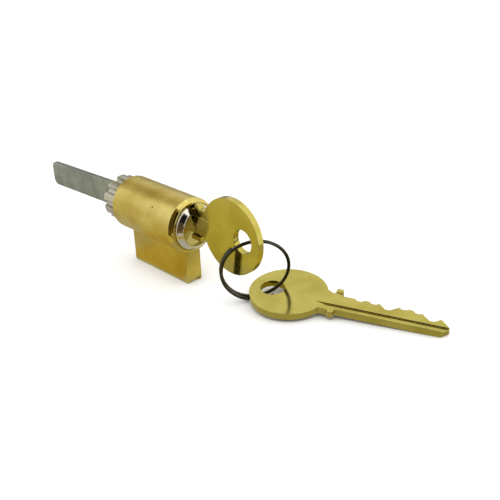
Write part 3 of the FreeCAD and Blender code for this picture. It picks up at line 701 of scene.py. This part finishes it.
finish_key("key_in_lock", "key", "inserted_key", GROOVE_FLOOR)
finish_key("key_on_ring", "spare_key", "hanging_key", WORN_FLOOR)

# %% [markdown]
# ## The end of the tailpiece
# The tailpiece is cropped from sheet, and its edges are dulled by tumbling. Its far upper corner is nearly
# square on the real lock, with only a small rounding, so the copy's slant is drawn out to that corner before
# the edges are rounded. What the shears cut stays duller than the rolled sides, so those faces get a second
# material.

# %% Finish the tailpiece
TAIL_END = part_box("tailpiece")[1].y / MM
TAIL_TOP = 2.35
CORNER = 0.9
SLANT_LENGTH = 3.7
SLANT_FOOT = (-0.5, 1.0)
NEAR_END = 0.01
NEAR_SLANT = 0.3
BEHIND_THE_CAP = 33.5
TAIL_ROUNDING = 0.3
CUT_FACING = 0.75


def past_the_cap(edge):
    """Whether an edge lies on the part of the tailpiece that stands free behind the cap."""
    return all(vertex.co.y / MM > BEHIND_THE_CAP for vertex in edge.verts)


def finish_tail():
    """Makes a copy of the tailpiece with a small upper corner and dulled edges."""
    mesh = clean_copy("tailpiece")
    for vertex in mesh.verts:
        y, z = vertex.co.y / MM, vertex.co.z / MM
        if abs(y - TAIL_END) < NEAR_END and SLANT_FOOT[0] < z < SLANT_FOOT[1]:
            vertex.co.z = (TAIL_TOP - CORNER) * MM
        elif abs(y - TAIL_END + SLANT_LENGTH) < NEAR_SLANT and z > SLANT_FOOT[1]:
            vertex.co.y = (TAIL_END - CORNER) * MM
            vertex.co.z = TAIL_TOP * MM
    round_off(mesh, past_the_cap, TAIL_ROUNDING, 3)
    tail = finished_piece("tail_blade", mesh, "tailpiece", "tail", TAIL_STEEL)
    tail.data.materials.append(CUT_STEEL)
    for polygon in tail.data.polygons:
        polygon.material_index = int(abs(polygon.normal.x) < CUT_FACING)


finish_tail()

# %% [markdown]
# ## Springs and their pins
# Each driver pin stands on a spring, and the cap pin on a smaller one. When a pin is pushed in, its spring
# gets shorter by the same travel. Here each spring is copied onto the body that holds its pin, and the share
# of its length that it would keep is worked out from the pin's travel, but the copy itself is not squashed.

# %% Springs
SPRUNG_PINS = {f"pin_spring_{number}": f"driver_pin_{number}_slide" for number in range(1, 7)}
SPRUNG_PINS["cap_pin_spring"] = "cap_pin_press"
joints = {joint["name"]: joint for joint in frame["record"]["behaviour"]["joints"]}


def giving_spring(node_name, joint_name):
    """A copy of a spring on the body that holds its pin, and the share of its length it would keep with the
    pin pushed in.
    """
    joint = joints[joint_name]
    coil = new_object(node_name.replace("spring", "coil"), nodes[node_name].data.copy())
    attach(coil, joint["parent"])
    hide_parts(node_name)
    low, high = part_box(node_name)
    way = Vector([abs(share) for share in joint["axis"]])
    keep = 1 - joint["range_m"][1] / (high - low).dot(way)
    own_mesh(coil)
    return keep


for node_name, joint_name in SPRUNG_PINS.items():
    print(node_name, "keeps", round(giving_spring(node_name, joint_name), 2), "of its length")

# %% [markdown]
# ## The path of the split ring
# A split ring is springy wire wound round one and a half times, so that half of it is double. A mechanical
# model keeps the turns well apart, because touching turns would fuse. Here they come together as they do on
# the real ring. The path says, for each angle along the wire, how far it runs from the ring's middle and how
# far to one side, with the place where it crosses over and its spread last end.

# %% Path of the ring
RING_CENTRE = Vector((3.425, -21.998, -7.597))
RING_HEADING = math.radians(-36.3)
RING_LEAN = math.radians(7.2)
RING_RADIUS = 9.25
RING_START, RING_CROSS, RING_CROSSED, RING_SPREAD, RING_END = (
    math.radians(turn) for turn in (131, 300, 460, 540, 660))
FREE_APART = 1.4
CLOSE_APART = 0.97
CLOSING = math.radians(60)
RING_GROWTH = 0.8


def eased(share):
    """A share from 0 to 1 that starts and ends gently."""
    share = max(0.0, min(1.0, share))
    return share * share * (3 - 2 * share)


def wire_point(turn):
    """A point of the wire's middle, in mm, in the ring's own frame, at an angle along the wire."""
    side = eased((turn - RING_CROSS) / (RING_CROSSED - RING_CROSS)) - 0.5
    past_crossing = max(RING_CROSS - turn, turn - RING_CROSSED)
    apart = FREE_APART + (CLOSE_APART - FREE_APART) * eased(past_crossing / CLOSING)
    spread = max((turn - RING_SPREAD) / (RING_END - RING_SPREAD), 0)
    radius = RING_RADIUS + RING_GROWTH * spread ** 2
    return Vector((radius * math.cos(turn), radius * math.sin(turn), apart * side))


ring_length = RING_RADIUS * (RING_END - RING_START)
print("the wire is about", round(ring_length), "mm long")

# %% [markdown]
# ## Drawing the wire
# A curve with a round bevel would give a wire in one line, but its ends would be cut flat. The wire is swept
# along its path by hand instead, as rings of points that shrink towards both ends, so they come out rounded.

# %% Sections of the wire
WIRE_RADIUS = 0.475
SECTION_POINTS = 20
END_ROUNDING = 0.2
SMALL_TURN = 0.001


def section(mesh, share):
    """A ring of points round the wire, at a share of its length. It is smaller close to either end."""
    turn = RING_START + share * (RING_END - RING_START)
    middle = wire_point(turn)
    ahead = (wire_point(turn + SMALL_TURN) - wire_point(turn - SMALL_TURN)).normalized()
    across = ahead.cross(UPWARDS).normalized()
    over = across.cross(ahead)
    inset = max(END_ROUNDING - min(share, 1 - share) * ring_length, 0)
    reach = WIRE_RADIUS - END_ROUNDING + math.sqrt(END_ROUNDING ** 2 - inset ** 2)
    angles = [2 * math.pi * number / SECTION_POINTS for number in range(SECTION_POINTS)]
    return [mesh.verts.new((middle + (across * math.cos(angle) + over * math.sin(angle)) * reach) * MM)
            for angle in angles]


# %% [markdown]
# ## Closing the wire
# A strip of four-cornered faces joins each section to the next, and one face closes either end. All of it is
# drawn in the ring's own frame, where a circle round the middle is simple to write, and only then moved to
# where the ring hangs in the keys' holes.

# %% Split ring
STATIONS = 320


def split_ring():
    """The wound wire as a closed mesh. Its frame has X along its heading, Y up and Z across it."""
    mesh = bmesh.new()
    rounding = END_ROUNDING / ring_length
    shares = [rounding + (1 - 2 * rounding) * index / STATIONS for index in range(STATIONS + 1)]
    # At either end one more ring lies at the tip, and one a third of the rounding further in.
    rings = [section(mesh, share) for share in [0, rounding / 3, *shares, 1 - rounding / 3, 1]]
    for first, second in zip(rings, rings[1:]):
        for number in range(SECTION_POINTS):
            after = (number + 1) % SECTION_POINTS
            mesh.faces.new((first[number], first[after], second[after], second[number]))
    mesh.faces.new(reversed(rings[0]))
    mesh.faces.new(rings[-1])
    bmesh.ops.recalc_face_normals(mesh, faces=mesh.faces)
    ring_way = Vector((math.cos(RING_HEADING), math.sin(RING_HEADING), 0))
    ring_up = UPWARDS * math.cos(RING_LEAN) - UPWARDS.cross(ring_way) * math.sin(RING_LEAN)
    bmesh.ops.transform(mesh, matrix=framed(RING_CENTRE, ring_way, ring_up), verts=mesh.verts)
    data = bpy.data.meshes.new("wire_ring")
    mesh.to_mesh(data)
    mesh.free()
    # The round ends stay flat in their middle, and everything else is smooth.
    for polygon in data.polygons:
        polygon.use_smooth = len(polygon.vertices) == 4
    ring = new_object("wire_ring", data)
    data.materials.append(DARK_STEEL)
    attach(ring, "ring")
    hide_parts("split_ring")
    return ring


wire_ring = split_ring()
print("ring has", len(wire_ring.data.vertices), "vertices")

# %% [markdown]
# ## The studio
# Small metal things are photographed in a white tent, so that they have something pale to reflect. The world
# is that tent: pure white to the camera and to reflections, and a little dimmer as a light, because two soft
# boxes add their share.

# %% White surroundings
TENT_LIGHT = 0.72


def seen_rays(tree):
    """A value that is 1 for what the camera, a reflection or a clear material sees, and 0 for lighting."""
    rays = add_node(tree, "ShaderNodeLightPath").outputs
    direct = calculate(tree, "MAXIMUM", rays["Is Camera Ray"], rays["Is Glossy Ray"])
    return calculate(tree, "MAXIMUM", direct, rays["Is Transmission Ray"])


world = bpy.data.worlds.new("tent")
bpy.context.scene.world = world
tree = blank_tree(world)
strength = remap(tree, seen_rays(tree), 0.0, 1.0, TENT_LIGHT, 1.0)
backdrop = add_node(tree, "ShaderNodeBackground", {"Color": (1, 1, 1, 1), "Strength": strength})
add_node(tree, "ShaderNodeOutputWorld", {"Surface": backdrop.outputs[0]})
print("the tent gives", TENT_LIGHT, "of white as a light")

# %% [markdown]
# ## Soft boxes
# A tent alone lights everything evenly, and then dull metal looks flat. Two soft boxes, one above and one on
# the right, give it a lit side. A small strong lamp would do that too, but bright metal shows each lamp as a
# hard spot, so these are far larger than the lock, and dim.

# %% Soft boxes
def soft_box(name, place, size, watts):
    """A square area lamp that faces the middle of the object."""
    lamp = new_object(name, bpy.data.lights.new(name, "AREA"))
    lamp.data.shape = "RECTANGLE"
    lamp.data.size = size
    lamp.data.size_y = size
    lamp.data.energy = watts
    lamp.location = place
    lamp.rotation_mode = "QUATERNION"
    lamp.rotation_quaternion = (LOOKS_AT - lamp.location).to_track_quat("-Z", "Y")
    print(name, "gives", watts, "W from", round((LOOKS_AT - lamp.location).length, 2), "m")


soft_box("soft_box_above", Vector((-0.15, 0.0, 0.45)), size=0.9, watts=1.0)
soft_box("soft_box_right", Vector((0.35, -0.25, 0.25)), size=0.8, watts=0.5)

# %% [markdown]
# ## The floor
# The object lies on plain white card. The card is lit like everything else, and what it lacks to pure white
# comes from a glow that only the camera and reflections see. The glow fades where something stands close over
# the card, so the soft shadow under the object stays. The card's own colour also darkens there, which is a
# painted contact shadow on top of the lit one.

# %% Floor
FLOOR_HALF = 2.0
FLOOR_GLOW = 0.38
SHADOW_REACH = 5 * MM
SHADOW_RANGE = (0.15, 0.5)
SHADOW_TONES = (0.1, 0.85)


def flat_sheet(name, corners, material):
    """One flat face that belongs to the studio and not to the object."""
    mesh = bpy.data.meshes.new(name)
    mesh.from_pydata(corners, [], [(0, 1, 2, 3)])
    mesh.materials.append(material)
    sheet = new_object(name, mesh)
    return sheet


card = bpy.data.materials.new("white card")
tree = blank_tree(card)
openness = add_node(tree, "ShaderNodeAmbientOcclusion", {"Distance": SHADOW_REACH}, samples=8).outputs["AO"]
lit = calculate(tree, "MULTIPLY", seen_rays(tree), openness)
glow = calculate(tree, "MULTIPLY", lit, FLOOR_GLOW)
# The card's colour darkens with its openness: a painted contact shadow under and beside the object.
painted_shadow_tone = remap(tree, openness, *SHADOW_RANGE, *SHADOW_TONES)
shader = add_node(tree, "ShaderNodeBsdfPrincipled",
                  {"Base Color": painted_shadow_tone, "Roughness": 0.8, "Emission Color": (1, 1, 1, 1),
                   "Emission Strength": glow})
add_node(tree, "ShaderNodeOutputMaterial", {"Surface": shader.outputs[0]})
corners = [(x * FLOOR_HALF, y * FLOOR_HALF, cad_low.z) for x, y in ((-1, -1), (1, -1), (1, 1), (-1, 1))]
flat_sheet("floor", corners, card)
print("the floor is at", round(cad_low.z / MM, 1), "mm")

# %% [markdown]
# ## Cards for the metal to mirror
# In an all-white tent bright metal looks like plaster. Photographers therefore stand or lay coloured and
# black cards outside the picture, so that polished faces mirror something darker and the shapes show. These
# cards do the same: only reflections see them, and they cast no shadow.

# %% Card helper
def plain(colour):
    """The colours of a card that is the same all over."""
    return [(0.0, colour), (1.0, colour)]


def mirror_card(name, corner, across, along, colours):
    """A card that only reflections see, from a corner and two sides in mm.

    Its colours run across it, each as a share of its width and a linear colour."""
    material = bpy.data.materials.new(name)
    tree = blank_tree(material)
    from_corner = add_node(tree, "ShaderNodeVectorMath", {0: place_in_mm(tree), 1: corner},
                           operation="SUBTRACT").outputs[0]
    share = add_node(tree, "ShaderNodeVectorMath", {0: from_corner, 1: across / across.length_squared},
                     operation="DOT_PRODUCT").outputs["Value"]
    ramp = add_node(tree, "ShaderNodeValToRGB", {"Fac": share})
    stops = ramp.color_ramp.elements
    for number, (stop_share, colour) in enumerate(colours):
        stop = stops[number] if number < 2 else stops.new(stop_share)
        stop.position = stop_share
        stop.color = (*colour, 1)
    # The card glows with its colours instead of being lit, so what the metal mirrors there is painted light
    # and shade.
    glow = add_node(tree, "ShaderNodeEmission", {"Color": ramp.outputs["Color"], "Strength": 1.0})
    add_node(tree, "ShaderNodeOutputMaterial", {"Surface": glow.outputs[0]})
    corners = [corner, corner + across, corner + across + along, corner + along]
    sheet = flat_sheet(name, [point * MM for point in corners], material)
    for kind in ("camera", "diffuse", "transmission", "volume_scatter", "shadow"):
        setattr(sheet, "visible_" + kind, False)


# %% [markdown]
# ## Cards on the floor
# Most faces that the camera sees mirror the table in front of the lock or beside it, so most cards lie there.
# The grey, olive, straw, orange and tan cards near the lock are painted shade: they show reflections a floor
# darkened by the object's shadow and warmed by light bounced off the brass, and the brown cards in front show
# it in the photographer's shadow. The place of each was found by following the view from the camera to a face
# and on as a mirror sends it. Each layer lies a tenth of a millimetre over the one below, so that the upper
# card shows where two overlap.

# %% Cards on the floor
FLOOR_LEVEL = cad_low.z / MM
LAYER = 0.1
GREY = (0.57, 0.54, 0.45)
STRAW = (0.72, 0.66, 0.29)
SAND = (0.8, 0.75, 0.55)
ORANGE = (0.58, 0.44, 0.1)
TAN = (0.5, 0.36, 0.08)
BROWN = (0.16, 0.1, 0.03)
OLIVE = (0.33, 0.29, 0.06)
# The darker and warmer cards near and in front of the lock are painted shade and painted bounce light of the
# floor.
FLOOR_CARDS = {
    "grey_card": (-30, 140, -75, 140, 1, plain(GREY)),
    "sand_card": (-120, -30, 0, 140, 2, plain(SAND)),
    "straw_card": (-46, -18, -8, 42, 3, plain(STRAW)),
    "front_straw_card": (-2, 16, -13, -2, 3, [(0.0, STRAW), (1.0, SAND)]),
    "olive_card": (2, 44, -36, -2, 2, plain(OLIVE)),
    "orange_card": (-19, -3, 4, 30, 4, [(0.0, STRAW), (0.3, ORANGE), (1.0, ORANGE)]),
    "tan_card": (-32, -8, -60, -12, 2, [(0.0, BROWN), (0.3, TAN), (1.0, TAN)]),
    "brown_card": (-120, -28, -120, -8, 4, plain(BROWN)),
    "front_brown_card": (-36, 30, -120, -78, 4, plain(BROWN)),
    "pale_card": (-44, -25, -40, -17, 5, plain(GREY)),
}
for name, (left, right, front, back, layer, colours) in FLOOR_CARDS.items():
    mirror_card(name, Vector((left, front, FLOOR_LEVEL + LAYER * layer)), Vector((right - left, 0, 0)),
                Vector((0, back - front, 0)), colours)
print(len(FLOOR_CARDS), "cards on the floor")

# %% [markdown]
# ## Standing cards
# Faces that look upwards or away from the table mirror what stands round it. The wall on the left is dark at
# its foot and pale at its top, which shades the nose and the rounded side of the barrel. A dark card stands
# where the photographer would, and lower walls and one high card behind tint the rest.

# %% Standing cards
BLACK = (0.01, 0.01, 0.01)
UMBER = (0.1, 0.07, 0.025)
DUSK = (0.4, 0.31, 0.1)
SLATE = (0.4, 0.39, 0.33)
WHITE = (1.0, 1.0, 1.0)


def around(bearing, distance):
    """A place on the floor in mm, from a bearing in degrees, counted from the right towards the back."""
    angle = math.radians(bearing)
    return Vector((distance * math.cos(angle), distance * math.sin(angle), FLOOR_LEVEL))


def standing_card(name, first, last, distance, top, colours):
    """An upright card between two bearings. Its colours run upwards."""
    corner = around(first, distance)
    mirror_card(name, corner, Vector((0, 0, top - FLOOR_LEVEL)), around(last, distance) - corner, colours)


standing_card("left_wall", 188, 226, 120, 280,
              [(0.0, UMBER), (0.2, UMBER), (0.55, BROWN), (0.8, TAN), (1.0, SAND)])
standing_card("photographer", 226, 258, 120, 130, [(0.0, BROWN), (0.2, BLACK), (1.0, BLACK)])
standing_card("sand_wall", 116, 188, 130, 22, plain(SAND))
standing_card("slate_wall", 15, 65, 140, 45, plain(SLATE))
mirror_card("dusk_card", Vector((-46, 163, 75)), Vector((190, 0, 0)), Vector((0, 0, 170)),
            [(0.0, DUSK), (0.3, DUSK), (0.7, SAND), (1.0, WHITE)])

# %% [markdown]
# ## Plain colours on the way out
# The Standard view transform shows each colour as it was written, which is what product pictures need.

# %% View transform
bpy.context.scene.view_settings.view_transform = "Standard"
